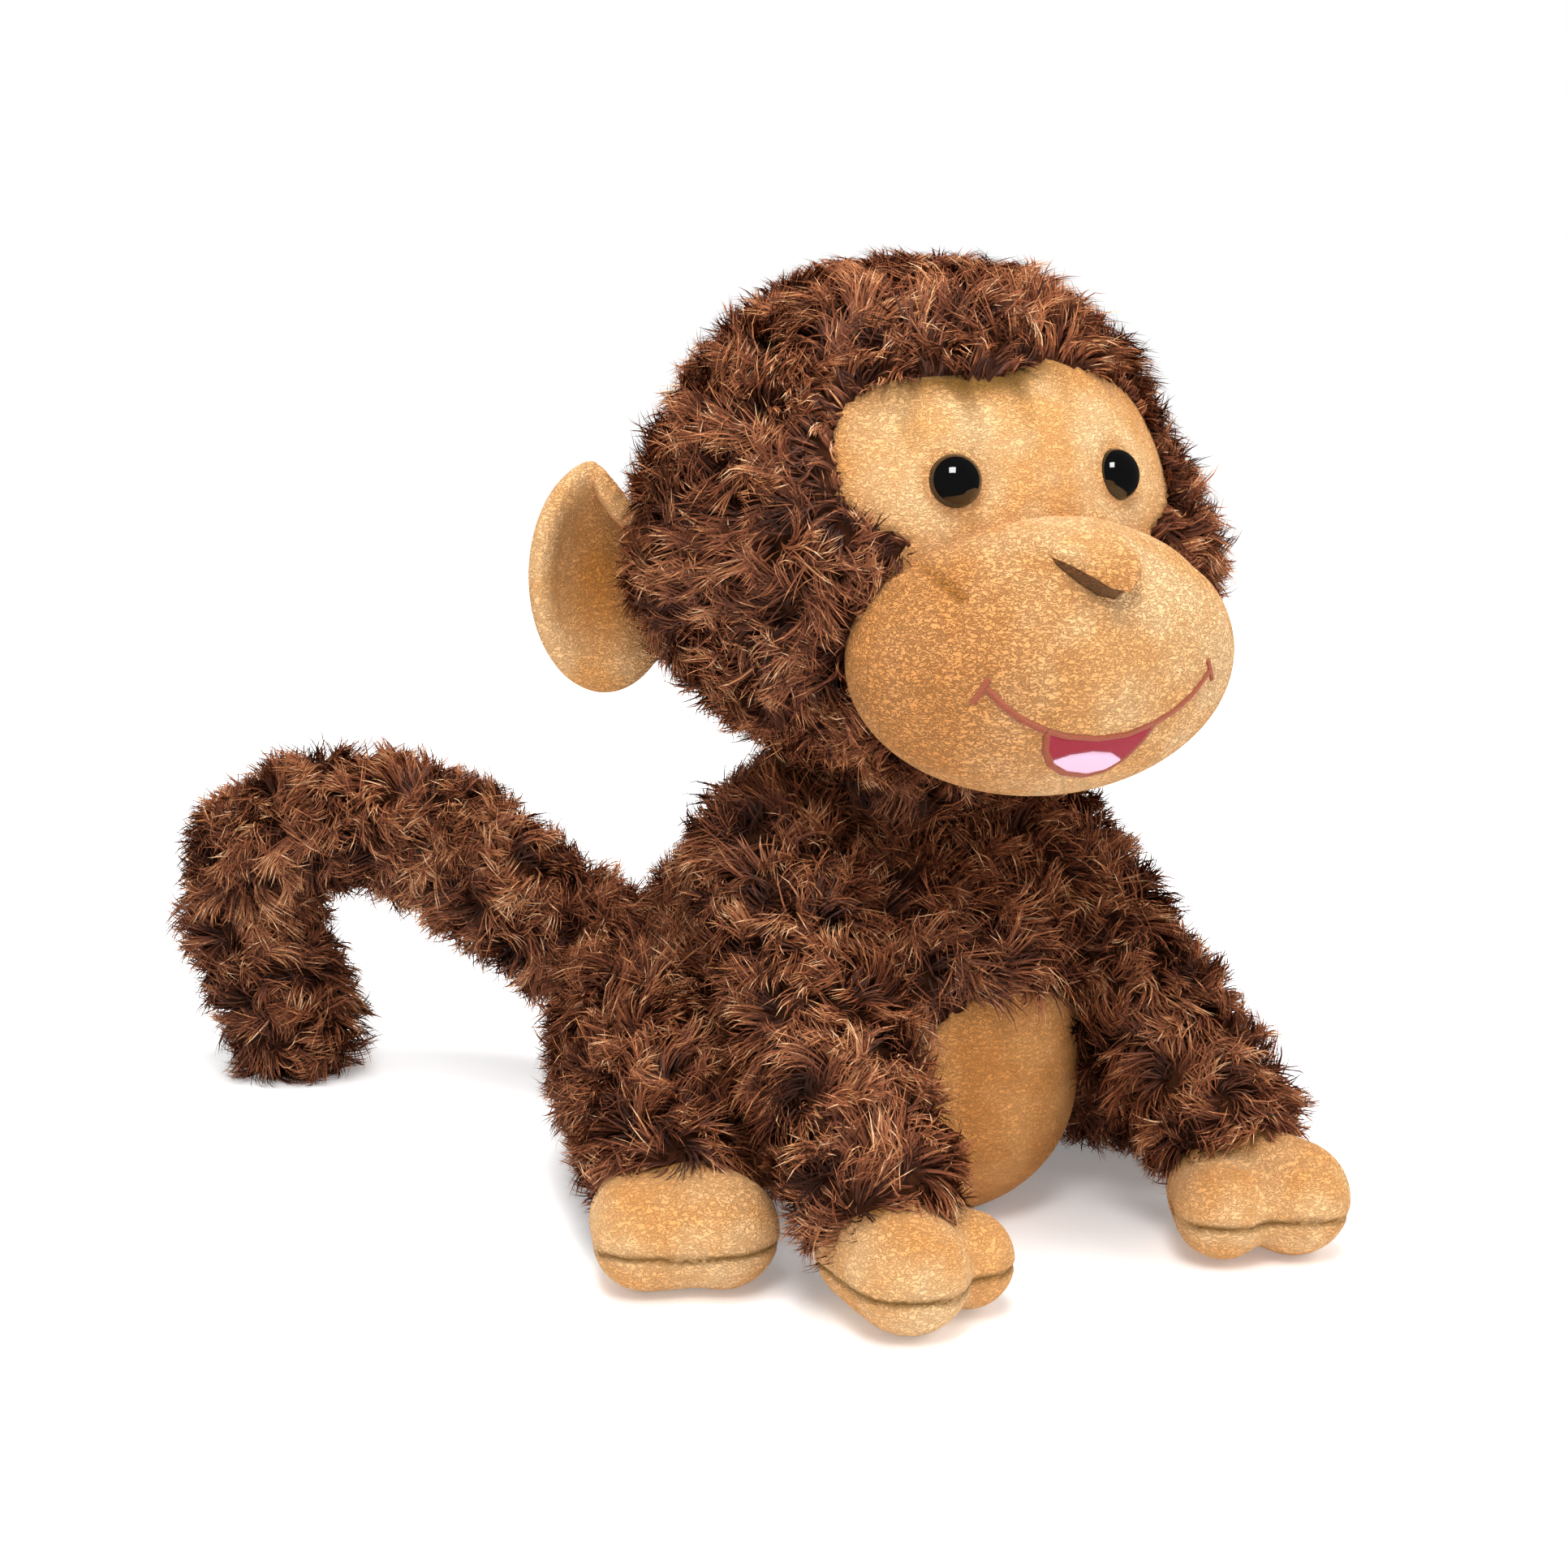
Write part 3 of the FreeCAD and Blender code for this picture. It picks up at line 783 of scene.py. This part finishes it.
def stitch_line(bm, path, width):
    """Short threads side by side, each across the line."""
    spots, heading = sampled(path, LINE_GAP)
    for (x, z), (dx, dz) in zip(spots, heading):
        ends = [(x - dz * width * s, z + dx * width * s) for s in (-0.5, -0.25, 0, 0.25, 0.5)]
        lifts = (0.05, 0.35, 0.45, 0.35, 0.05)
        add_thread(bm, [on_muzzle(px, pz, lift) for (px, pz), lift in zip(ends, lifts)], LINE_R)


def stitch_fill(bm, x0, x1, top, bottom):
    """Upright threads between two curves."""
    for x in np.arange(x0, x1, FILL_GAP):
        high, low = top(x), bottom(x)
        if high - low > 0.6:
            heights = np.linspace(high, low, 6)
            add_thread(bm, [on_muzzle(x, z, 0.25) for z in heights], FILL_R)


def stitched(name, bm, material, slot, *nodes):
    obj = link(name, finish_bmesh(bm, name), material)
    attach(obj, "head")
    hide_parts(*nodes)
    print(f"{name}: {len(obj.data.polygons)} faces")


print("one stitch is", 2 * LINE_R, "mm thick")

# %% Smile, mouth and tongue
LEFT_SMILE = [(-38.5, 165.5), (-35, 161.5), (-30, 157.5), (-23, 154)]
RIGHT_SMILE = [(9, 154), (15, 156.5), (21, 160), (26, 164), (29, 166.5)]
MOUTH_TOP = [(-22.5, 153.9), (-17, 152.3), (-8, 151.2), (1, 151.7), (9, 154)]
MOUTH_LOW = [(-22.5, 153.5), (-21, 148.5), (-17.5, 144.5), (-12, 141.6), (-5, 140.2), (0, 141.2),
             (4, 144.5), (7, 149.3), (9, 153.6)]
TONGUE_TOP = [(-19, 145.2), (-14, 147.2), (-8, 147.8), (-2, 147), (3, 144.5)]
LEFT_TICK, RIGHT_TICK = [(-41.0, 161.8), (-38.2, 168)], [(27.6, 169), (30.4, 163.5)]


def curve(path):
    xs, zs = zip(*path)
    return lambda x: float(np.interp(x, xs, zs))


top, low, tongue = curve(MOUTH_TOP), curve(MOUTH_LOW), curve(TONGUE_TOP)
bm = bmesh.new()
stitch_fill(bm, -22, 8.6, top, lambda x: max(low(x), tongue(x) if -19 < x < 3 else 0))
stitched("mouth_stitches", bm, CRIMSON_THREAD, "crimson_thread", "mouth_patch")
bm = bmesh.new()
stitch_fill(bm, -18.6, 2.8, tongue, low)
stitched("tongue_stitches", bm, PINK_THREAD, "pink_thread", "tongue_patch")
bm = bmesh.new()
for path, width in ((LEFT_SMILE, 1.7), (RIGHT_SMILE, 1.5), (MOUTH_TOP, 1.5), (MOUTH_LOW, 1.9),
                    (LEFT_TICK, 1.5), (RIGHT_TICK, 1.6)):
    stitch_line(bm, path, width)
stitched("smile_stitches", bm, BROWN_THREAD, "brown_thread", "smile_line")

# %% [markdown]
# ## Nose
# The nose is a small pinch of the same plush, sewn down at its top and folded over at its lower edge,
# with a darker brown sheet under the fold, painted shade beneath the overhang. Each of its two sheets starts
# as a grid, which is laid on the muzzle between two lines and lifted most along the lip.

# %% Nose fold
NOSE_TOP = [(-18, 200.5), (-13, 203.2), (-7, 205), (0, 205.3), (7, 204.5)]
NOSE_LIP = [(-17.5, 199), (-13, 195), (-8.5, 191.5), (-3, 190), (7, 196.5)]
NOSE_UNDER = [(-17, 196.5), (-12.5, 191.8), (-8, 188.6), (-3, 187.6), (6, 194)]
NOSE_END = 0.88


def along_path(path, t):
    place = t * (len(path) - 1)
    return [float(np.interp(place, range(len(path)), [p[i] for p in path])) for i in (0, 1)]


def nose_sheet(name, first, last, lift_first, lift_last, thickness, material):
    """A sheet of cloth on the muzzle from one line to another, closed down at both ends."""
    bm = bmesh.new()
    bmesh.ops.create_grid(bm, x_segments=40, y_segments=14, size=0.5)
    for vert in bm.verts:
        u, v = vert.co.x + 0.5, vert.co.y + 0.5
        (x0, z0), (x1, z1) = along_path(first, u), along_path(last, u)
        closing = max(0.0, (u - NOSE_END) / (1 - NOSE_END))
        full = math.sqrt(max(0.0, (1 - (1.5 * u - 1) ** 2) * (1 - closing ** 2)))
        lift = (lift_first + (lift_last - lift_first) * math.sin(v * math.pi / 2)) * full + 0.3
        vert.co = on_muzzle(x0 + (x1 - x0) * v, z0 + (z1 - z0) * v) + Vector((0, -lift * MM, 0))
    bmesh.ops.solidify(bm, geom=bm.faces, thickness=thickness * MM)
    mesh = finish_bmesh(bm, name)
    points = read_points(mesh)
    # Painted shade: a deeper orange lower down, towards the fold.
    paint(mesh, "painted_shade", np.clip((200 - points[:, 2]) / 14, 0, 0.5))
    obj = link(name, mesh, material)
    subdivided(obj)
    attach(obj, "head")
    return obj


nose = nose_sheet("nose_fold", NOSE_TOP, NOSE_LIP, 0.2, 8.0, 1.6, TAN)
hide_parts("nose_tab")
# The underside is a darker copy of the plush: painted shade under the fold.
underside = nose_sheet("nose_underside", NOSE_LIP, NOSE_UNDER, 6.8, 0.6, 1.0, NOSE_SHADED)
print("nose:", len(nose.data.polygons), "faces, underside:", len(underside.data.polygons))

# %% [markdown]
# ## Eyes
# The eyes are moulded domes with a polished face. Each sits square to the head in its small dent.

# %% Eyes
EYE_R, EYE_FLAT, EYE_SET = 7.2, 0.85, 0.3
for name, side in SIDES:
    x, z = EYE_X * side, HEAD[2] + (EYE_Z - HEAD[2]) / CROWN
    y = HEAD[1] - HEAD_R[1] * math.sqrt(1 - (x / HEAD_R[0]) ** 2 - ((z - HEAD[2]) / HEAD_R[2]) ** 2)
    normal = Vector((x / HEAD_R[0] ** 2, (y - HEAD[1]) / HEAD_R[1] ** 2, (z - HEAD[2]) / HEAD_R[2] ** 2))
    normal.normalize()
    bm = bmesh.new()
    made = bmesh.ops.create_uvsphere(bm, u_segments=48, v_segments=32, radius=EYE_R * MM)["verts"]
    bmesh.ops.transform(bm, matrix=Matrix.Diagonal((1, 1, EYE_FLAT, 1)), verts=made)
    turn = normal.to_track_quat("Z", "Y").to_matrix().to_4x4()
    seat = Matrix.Translation(at(x, y, EYE_Z) - normal * EYE_SET * MM)
    bmesh.ops.transform(bm, matrix=seat @ turn, verts=made)
    eye = link(f"eye_dome_{name}", finish_bmesh(bm, f"eye_dome_{name}"), EYE_BLACK)
    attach(eye, "head")
    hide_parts(f"eye_{name}")
print("eyes at x", EYE_X, "z", EYE_Z)

# %% [markdown]
# ## Neck
# The neck is short and hidden. It needs its own fur, as it turns with the head's yaw.

# %% Neck
NECK, NECK_R = (0, -24, 134), 29
bm = bmesh.new()
add_ball(bm, NECK, (NECK_R,) * 3)
neck_mesh = finish_bmesh(bm, "neck_cloth")
neck = link("neck_cloth", neck_mesh, FUR_BACKING)
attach(neck, "neck")
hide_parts("neck_sleeve", "neck_stuffing")
print("neck:", len(neck_mesh.polygons), "faces")

# %% [markdown]
# ## Ears
# Each ear is a soft dish, spun from a half profile and stretched upright. Its upper inner edge is
# folded over to the front, as it was when it was sewn into the head seam.

# %% Ears
EAR, EAR_WIDE, EAR_TALL = (83, -7, 186), 24, 34
DISH = [(0, 4.2), (8, 3.2), (14, 0.2), (18.5, -3.8), (21.5, -4.8), (23.4, -3), (23.2, 0.6), (20.5, 4),
        (14, 7.2), (6, 8.6), (0, 9)]
FOLD_CORNER, FOLD_HEADING, FOLD_TURN = (-3, 30), (24, -22), math.radians(150)


def fold_over(points, corner, heading, angle, soft=4.0):
    """Rolls whatever lies past a line, in the ear's own plane, forwards by an angle."""
    heading = np.array(heading, float) / np.linalg.norm(heading)
    past = np.array([-heading[1], heading[0]])
    offset = points[:, [0, 2]] - np.array(corner, float)
    far = offset @ past
    turn = angle * np.clip(far / soft, 0, 1)
    beyond = np.maximum(far, 0)
    change = np.stack([beyond * (np.cos(turn) - 1) * past[0], -beyond * np.sin(turn) - 0.4 * (far > 0),
                       beyond * (np.cos(turn) - 1) * past[1]], axis=1)
    return points + change


for name, side in SIDES:
    bm = bmesh.new()
    verts = [bm.verts.new((r * MM, y * MM, 0)) for r, y in DISH]
    edges = [bm.edges.new(pair) for pair in zip(verts, verts[1:])]
    bmesh.ops.spin(bm, geom=verts + edges, cent=(0, 0, 0), axis=(0, 1, 0), angle=math.tau,
                   steps=72, use_merge=True)
    bmesh.ops.remove_doubles(bm, verts=bm.verts, dist=0.01 * MM)
    bmesh.ops.subdivide_edges(bm, edges=bm.edges, cuts=1, use_grid_fill=True)
    bmesh.ops.scale(bm, vec=(1, 1, EAR_TALL / EAR_WIDE), verts=bm.verts)
    ear_mesh = finish_bmesh(bm, f"ear_cloth_{name}")
    points = read_points(ear_mesh)
    deep = np.clip(1 - np.hypot(points[:, 0] / 19, points[:, 2] / 27), 0, 1) * (points[:, 1] < 5)
    # Painted shade: a deeper orange deep in the dish.
    paint(ear_mesh, "painted_shade", 0.25 + 0.9 * deep)
    points[:, 0] *= -side
    points = fold_over(points, FOLD_CORNER, FOLD_HEADING, FOLD_TURN)
    points[:, 0] *= -side
    points += np.array([EAR[0] * side, EAR[1], EAR[2]])
    write_points(ear_mesh, points)
    ear = link(f"ear_cloth_{name}", ear_mesh, TAN_LIGHT)
    subdivided(ear)
    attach(ear, f"ear_{name}")
    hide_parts(f"ear_front_{name}", f"ear_back_{name}")
    print(f"ear_{name}:", len(ear_mesh.polygons), "faces")

# %% [markdown]
# ## Arms, legs and paws
# The limbs are soft tubes. Each paw is a mitten of two lobes, sewn round a flat seam at less than half
# its height. The filling swells it above and below that seam. The right hand sits a little further back
# than the left, as a soft arm never rests quite straight.

# %% Limb plan
ARM = [((42, -31, 106), 19), ((53, -77, 63), 18.5), ((58, -112, 32), 17)]
LEG = [((54, 9, 44), 31), ((71, -25, 36), 25), ((85, -52, 27), 18)]
HAND = [((60, -120, 17), (62, -139, 16.5), 16.5), ((49, -121, 15), (41, -134, 14.5), 13.5)]
FOOT = [((89, -64, 17), (87, -80, 16), 16), ((101, -60, 16), (106, -72, 15), 14.5),
        ((88, -79, 16), (105, -71, 15), 15)]
PAW_SEAM, HAND_BACK = 13.5, 6
WRIST_R, BARE_R = 14.5, 14


def on_side(place, side):
    return (place[0] * side, place[1], place[2])


def paw_mesh(name, end, lobes, side):
    bm = bmesh.new()
    back = HAND_BACK if name == "hand_cloth_right" else 0
    add_ball(bm, on_side(end, side), (WRIST_R,) * 3, subdivisions=3)
    for a, b, r in lobes:
        start, finish = ((x * side, y + back, z) for x, y, z in (a, b))
        add_bar(bm, start, finish, r, r, 5)
    mesh = welded(bm, name, 1.6, 7)
    from_seam = np.abs(read_points(mesh)[:, 2] - PAW_SEAM)
    mesh = fill_out(mesh, name, from_seam < 1.0, cap=1.3)
    points = read_points(mesh)
    front = np.clip(0.85 - read_normals(mesh)[:, 1], 0, 1)
    away = np.clip((np.linalg.norm(points - np.array(on_side(end, side)), axis=1) - BARE_R) / 6, 0, 1)
    wavy = points[:, 2] - PAW_SEAM - 0.9 * np.sin(points[:, 0] / 5) * np.cos(points[:, 1] / 7)
    line = sink(mesh, np.abs(wavy) / np.maximum(front * away, 0.05), 0.7, 0.9)
    # The seam is painted as thread with a painted shadow.
    paint(mesh, "seam", line * 1.2)
    # Painted shade: a deeper orange on the paw's upper part and by the wrist, beside the fur.
    paint(mesh, "painted_shade", 0.75 * np.clip((points[:, 2] - 20) / 16, 0, 1) + 0.5 * (1 - away))
    return on_floor(mesh)


print("paw seam at", PAW_SEAM, "mm above the floor")

# %% Build limbs and paws
limb_meshes = {}
for name, side in SIDES:
    for kind, chain, paw, lobes in (("arm", ARM, "hand", HAND), ("leg", LEG, "foot", FOOT)):
        bm = bmesh.new()
        for (a, ra), (b, rb) in zip(chain, chain[1:]):
            add_bar(bm, on_side(a, side), on_side(b, side), ra, rb)
        mesh = welded(bm, f"{kind}_skin_{name}", 2.5, 5)
        limb_meshes[f"{kind}_{name}"] = mesh
        skin = link(f"{kind}_skin_{name}", mesh, FUR_BACKING)
        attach(skin, f"{kind}_{name}")
        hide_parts(f"{kind}_sleeve_{name}", f"{kind}_stuffing_{name}")
        paw_cover = paw_mesh(f"{paw}_cloth_{name}", chain[-1][0], lobes, side)
        cover = link(f"{paw}_cloth_{name}", paw_cover, TAN_LIGHT)
        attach(cover, f"{paw}_{name}")
        low = "palm" if paw == "hand" else "sole"
        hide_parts(f"{paw}_top_{name}", f"{paw}_{low}_{name}", f"{paw}_stuffing_{name}")
        print(f"{kind} and {paw}, {name}:", len(mesh.polygons), "and", len(cover.data.polygons), "faces")

# %% [markdown]
# ## Tail
# The tail is a long stuffed tube in three lengths, one for each of its joints. It arches up behind the
# back and comes down to the floor.

# %% Tail
TAIL = {"base": [(-4, 66, 38), (-30, 97, 46), (-52, 119, 66), (-68, 135, 82)],
        "mid": [(-68, 135, 82), (-87, 152, 90), (-104, 169, 89), (-119, 183, 77)],
        "tip": [(-119, 183, 77), (-122, 186, 55), (-116, 180, 34), (-111, 175, 16)]}
TAIL_R = 16.5
for name, chain in TAIL.items():
    bm = bmesh.new()
    for a, b in zip(chain, chain[1:]):
        add_bar(bm, a, b, TAIL_R, TAIL_R, 6)
    mesh = welded(bm, f"tail_{name}_skin", 2.5, 5)
    limb_meshes[f"tail_{name}"] = mesh
    skin = link(f"tail_{name}_skin", mesh, FUR_BACKING)
    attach(skin, f"tail_{name}")
    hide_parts(f"tail_{name}_sleeve", f"tail_{name}_stuffing")
    print(f"tail_{name}:", len(mesh.polygons), "faces")


# %% [markdown]
# ## Where fur grows
# A reach function gives every root a length: 0 where cloth is bare or hidden in a joint, short beside
# the face mask, and full elsewhere.

# %% Reach functions
FACE_MIDDLE = (0, -110, 200.0)
TIP_BARE = 12


def outside_ball(points, centre, radii):
    return np.sqrt((((points - np.array(centre)) / np.array(radii)) ** 2).sum(axis=1))


def near_limb(points, chain, side):
    """Distance from the skin of a limb, negative inside it."""
    return near_path(points, [on_side(place, side) for place, _ in chain], [r for _, r in chain])


def torso_reach(points):
    size = 1 - belly_zone(points)
    for side in (1, -1):
        size = np.where(near_limb(points, ARM, side) < -9, 0, size)
        size = np.where(near_limb(points, LEG, side) < -12, 0, size)
    size = np.where(outside_ball(points, NECK, (NECK_R - 9,) * 3) < 1, 0, size)
    return np.where(points[:, 2] < 0.5, 0, size)


def head_reach(points):
    front = points[:, 1] < HEAD[1] - 2
    value = mask_value(points[:, 0], points[:, 2])
    size = np.where(front, np.where(value < 1.06, 0, np.clip(0.34 + (value - 1.0) * 0.7, 0, 1)), 1.0)
    size = np.where(outside_ball(points, MUZZLE, MUZZLE_R) < 0.97, 0, size)
    return np.where(outside_ball(points, NECK, (NECK_R - 5,) * 3) < 1, 0, size)


def head_pull(points):
    """Combs the fur away from the face, and a little down."""
    away = unit(points - np.array(FACE_MIDDLE))
    return away * (points[:, 1] < -70)[:, None] + np.array([0, 0, -0.15])


def limb_reach(tip):
    """A limb has no fur inside the torso, nor inside the paw at its tip."""
    def reach(points):
        gap = near_path(points, SEAT, (SEAT_FRONT_R, SEAT_BACK_R))
        gap = np.minimum(gap, 40 * (outside_ball(points, CHEST, CHEST_R) - 1))
        size = np.where(gap < -9, 0, 1.0)
        return np.where(np.linalg.norm(points - np.array(tip, float), axis=1) < TIP_BARE, 0, size)
    return reach


print("share of the head's skin with fur:", round(float((head_reach(read_points(head_mesh)) > 0).mean()), 2))


# %% [markdown]
# The coat is longest on the body and tail and shorter on the arms and the hidden neck. Every seed is
# fixed, so the fur grows the same way each time.

# %% Grow the fur
DENSE, TORSO_DENSE, NECK_DENSE = 1.15, 1.1, 1.0
CROWN_TOP = 271
ARM_TIP, LEG_TIP = (58, -118, 28), (88, -58, 24)
grow("torso_fur", torso_mesh, "torso", 17.0, TORSO_DENSE, 11, reach=torso_reach)
grow("neck_fur", neck_mesh, "neck", 12.0, NECK_DENSE, 15)
grow("head_fur", head_mesh, "head", 15.5, DENSE, 21, head_pull, head_reach, CROWN_TOP)
for name, side in SIDES:
    grow(f"arm_fur_{name}", limb_meshes[f"arm_{name}"], f"arm_{name}", 14.0, DENSE, 31 + side,
         reach=limb_reach(on_side(ARM_TIP, side)))
    grow(f"leg_fur_{name}", limb_meshes[f"leg_{name}"], f"leg_{name}", 15.0, DENSE, 41 + side,
         reach=limb_reach(on_side(LEG_TIP, side)))
for i, name in enumerate(TAIL):
    grow(f"tail_{name}_fur", limb_meshes[f"tail_{name}"], f"tail_{name}", 16.0, DENSE, 51 + i)

# %% [markdown]
# ## Studio
# The toy sits in a plain white studio. A bright even sky and a white floor run into each other: the
# floor glows a little, and more so far away, so that no horizon shows and the shadow near the toy does.

# %% Floor
bm = bmesh.new()
bmesh.ops.create_grid(bm, x_segments=1, y_segments=1, size=20.0)
white = plain("studio_white", "#fbfbfb", 0.95, Emission_Color=(1, 1, 1, 1))
tree = white.node_tree
place = add_node(tree, "ShaderNodeTexCoord").outputs["Object"]
far = add_node(tree, "ShaderNodeVectorMath", {"Vector": place}, operation="LENGTH").outputs["Value"]
glow = add_node(tree, "ShaderNodeMapRange", {"Value": far, "From Min": 0.25, "From Max": 1.2,
                                             "To Min": 0.22, "To Max": 0.5})
tree.links.new(glow.outputs["Result"], tree.nodes["Principled BSDF"].inputs["Emission Strength"])
floor = link("floor", finish_bmesh(bm, "floor"), white, smooth=False)
floor.visible_glossy = False
print("floor:", round(floor.dimensions.x), "m across")

# %% [markdown]
# Four square soft lamps give the shape its shading. Only the key lamp shows in mirrored surfaces, and the
# sky is dim there, so that each black eye has one bright square in it and stays dark elsewhere.

# %% Light
SKY_LIGHT, SKY_SEEN, SKY_MIRRORED = 0.6, 1.0, 0.12
scene = bpy.context.scene
scene.view_settings.view_transform = "Standard"
world = bpy.data.worlds.new("studio")
world.use_nodes = True
scene.world = world
tree = world.node_tree
sky = tree.nodes["Background"]
sky.inputs["Color"].default_value = (1, 1, 1, 1)
ray = add_node(tree, "ShaderNodeLightPath").outputs
bright = add_node(tree, "ShaderNodeMapRange", {"Value": ray["Is Camera Ray"], "To Min": SKY_LIGHT,
                                               "To Max": SKY_SEEN})
dim = add_node(tree, "ShaderNodeMapRange", {"Value": ray["Is Glossy Ray"], "To Min": 1.0,
                                            "To Max": SKY_MIRRORED})
strength = add_node(tree, "ShaderNodeMath", {0: bright.outputs["Result"], 1: dim.outputs["Result"]},
                    operation="MULTIPLY")
tree.links.new(strength.outputs["Value"], sky.inputs["Strength"])


def softbox(name, place, size, power, mirrored=False):
    data = bpy.data.lights.new(name, "AREA")
    data.shape, data.size, data.energy = "SQUARE", size, power
    lamp = new_object(name, data)
    lamp.location = place
    lamp.rotation_euler = (Vector((0, 0, 0.12)) - Vector(place)).to_track_quat("-Z", "Y").to_euler()
    lamp.visible_glossy = mirrored


def seen_from_camera(right, up, near, distance):
    """A place given along the camera's own axes, from the middle of the face."""
    axes = camera.rotation_euler.to_matrix()
    return at(0, -90, 200) + axes @ Vector((right, up, near)).normalized() * distance


softbox("key", seen_from_camera(-0.08, 0.655, 0.75, 1.1), 0.42, 6.0, mirrored=True)
softbox("top", seen_from_camera(-0.1, 0.93, 0.3, 1.2), 0.6, 13)
softbox("side", seen_from_camera(0.75, 0.45, 0.3, 1.3), 0.8, 6)
softbox("back", (0.3, 1.2, 1.3), 1.0, 9)
print("lamps: key, top, side and back")
